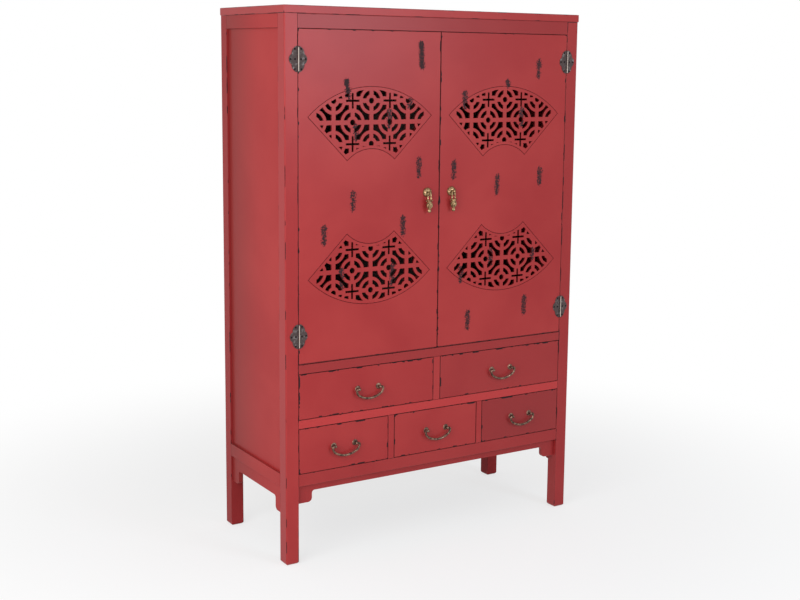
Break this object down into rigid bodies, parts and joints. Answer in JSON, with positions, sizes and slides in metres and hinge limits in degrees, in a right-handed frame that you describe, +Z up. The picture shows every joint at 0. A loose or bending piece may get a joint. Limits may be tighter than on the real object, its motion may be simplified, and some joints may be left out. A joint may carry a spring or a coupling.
{
  "type": "chinese wedding cabinet",
  "caption": "Tall red lacquered wedding cabinet on square legs, with a pair of hinged doors pierced by fan-shaped fretwork above rows of drawers with bail handles.",
  "frame": {"origin": "on the floor, under the middle of the box that holds the closed cabinet with its hardware", "axes": "+X to the right as seen from the front, +Y from the front to the back, +Z up; the doors and drawers face -Y"},
  "size_m": [0.96, 0.42, 1.5],
  "materials": {
    "red_lacquer": "worn satin lacquer, dark where it is rubbed through",
    "fretwork_lacquer": "worn satin lacquer",
    "inner_wood": "dark stained, matt",
    "hinge_bronze": "dark patina, worn bright at the barrel",
    "bail_bronze": "dark patina, polished on the heads",
    "pull_brass": "antique, polished on the high places"
  },
  "bodies": {
    "carcass": {"top_board": "red_lacquer", "post_front_left": "red_lacquer", "post_front_right": "red_lacquer", "post_back_left": "red_lacquer", "post_back_right": "red_lacquer", "top_rail": "red_lacquer", "middle_rail": "red_lacquer", "drawer_rail": "red_lacquer", "bottom_rail": "red_lacquer", "upper_divider": "red_lacquer", "lower_dividers": "red_lacquer", "side_rails_left": "red_lacquer", "side_rails_right": "red_lacquer", "side_panel_left": "red_lacquer", "side_panel_right": "red_lacquer", "side_apron_left": "red_lacquer", "side_apron_right": "red_lacquer", "front_apron": "red_lacquer", "back_rails": "inner_wood", "back_panel": "inner_wood", "cabinet_floor": "inner_wood", "shelf": "inner_wood", "shelf_cleats": "inner_wood", "drawer_runners": "inner_wood", "hinge_post_leaves": "hinge_bronze", "hinge_pins": "hinge_bronze"},
    "door_left": {"door_leaf_left": "red_lacquer", "fretwork_upper_left": "fretwork_lacquer", "fretwork_lower_left": "fretwork_lacquer", "hinge_door_leaves_left": "hinge_bronze", "pull_boss_left": "pull_brass"},
    "pull_left": {"pull_drop_left": "pull_brass"},
    "door_right": {"door_leaf_right": "red_lacquer", "fretwork_upper_right": "fretwork_lacquer", "fretwork_lower_right": "fretwork_lacquer", "hinge_door_leaves_right": "hinge_bronze", "pull_boss_right": "pull_brass"},
    "pull_right": {"pull_drop_right": "pull_brass"},
    "drawer_upper_left": {"drawer_upper_left_front": "red_lacquer", "drawer_upper_left_box": "inner_wood", "drawer_upper_left_studs": "bail_bronze"},
    "drawer_upper_right": {"drawer_upper_right_front": "red_lacquer", "drawer_upper_right_box": "inner_wood", "drawer_upper_right_studs": "bail_bronze"},
    "drawer_lower_left": {"drawer_lower_left_front": "red_lacquer", "drawer_lower_left_box": "inner_wood", "drawer_lower_left_studs": "bail_bronze"},
    "drawer_lower_middle": {"drawer_lower_middle_front": "red_lacquer", "drawer_lower_middle_box": "inner_wood", "drawer_lower_middle_studs": "bail_bronze"},
    "drawer_lower_right": {"drawer_lower_right_front": "red_lacquer", "drawer_lower_right_box": "inner_wood", "drawer_lower_right_studs": "bail_bronze"},
    "drawer_upper_left_bail": {"drawer_upper_left_bail": "bail_bronze"},
    "drawer_upper_right_bail": {"drawer_upper_right_bail": "bail_bronze"},
    "drawer_lower_left_bail": {"drawer_lower_left_bail": "bail_bronze"},
    "drawer_lower_middle_bail": {"drawer_lower_middle_bail": "bail_bronze"},
    "drawer_lower_right_bail": {"drawer_lower_right_bail": "bail_bronze"}
  },
  "joints": [
    {"name": "door_left_hinge", "type": "hinge", "parent": "carcass", "child": "door_left", "pos_m": [-0.43938, -0.191, 0.9985], "axis": [0, 0, -1], "range_deg": [0, 175]},
    {"name": "door_right_hinge", "type": "hinge", "parent": "carcass", "child": "door_right", "pos_m": [0.43938, -0.191, 0.9985], "axis": [0, 0, 1], "range_deg": [0, 175]},
    {"name": "drawer_upper_left_slide", "type": "slide", "parent": "carcass", "child": "drawer_upper_left", "axis": [0, -1, 0], "range_m": [0, 0.26]},
    {"name": "drawer_upper_right_slide", "type": "slide", "parent": "carcass", "child": "drawer_upper_right", "axis": [0, -1, 0], "range_m": [0, 0.26]},
    {"name": "drawer_lower_left_slide", "type": "slide", "parent": "carcass", "child": "drawer_lower_left", "axis": [0, -1, 0], "range_m": [0, 0.26]},
    {"name": "drawer_lower_middle_slide", "type": "slide", "parent": "carcass", "child": "drawer_lower_middle", "axis": [0, -1, 0], "range_m": [0, 0.26]},
    {"name": "drawer_lower_right_slide", "type": "slide", "parent": "carcass", "child": "drawer_lower_right", "axis": [0, -1, 0], "range_m": [0, 0.26]},
    {"name": "pull_left_swing", "type": "hinge", "parent": "door_left", "child": "pull_left", "pos_m": [-0.04, -0.2005, 1.001], "axis": [-1, 0, 0], "range_deg": [-3, 183]},
    {"name": "pull_right_swing", "type": "hinge", "parent": "door_right", "child": "pull_right", "pos_m": [0.04, -0.2005, 1.001], "axis": [-1, 0, 0], "range_deg": [-3, 183]},
    {"name": "drawer_upper_left_bail_swing", "type": "hinge", "parent": "drawer_upper_left", "child": "drawer_upper_left_bail", "pos_m": [-0.2255, -0.199, 0.4685], "axis": [-1, 0, 0], "range_deg": [-14, 194]},
    {"name": "drawer_upper_right_bail_swing", "type": "hinge", "parent": "drawer_upper_right", "child": "drawer_upper_right_bail", "pos_m": [0.2255, -0.199, 0.4685], "axis": [-1, 0, 0], "range_deg": [-14, 194]},
    {"name": "drawer_lower_left_bail_swing", "type": "hinge", "parent": "drawer_lower_left", "child": "drawer_lower_left_bail", "pos_m": [-0.29967, -0.199, 0.3175], "axis": [-1, 0, 0], "range_deg": [-14, 194]},
    {"name": "drawer_lower_middle_bail_swing", "type": "hinge", "parent": "drawer_lower_middle", "child": "drawer_lower_middle_bail", "pos_m": [0, -0.199, 0.3175], "axis": [-1, 0, 0], "range_deg": [-14, 194]},
    {"name": "drawer_lower_right_bail_swing", "type": "hinge", "parent": "drawer_lower_right", "child": "drawer_lower_right_bail", "pos_m": [0.29967, -0.199, 0.3175], "axis": [-1, 0, 0], "range_deg": [-14, 194]}
  ]
}
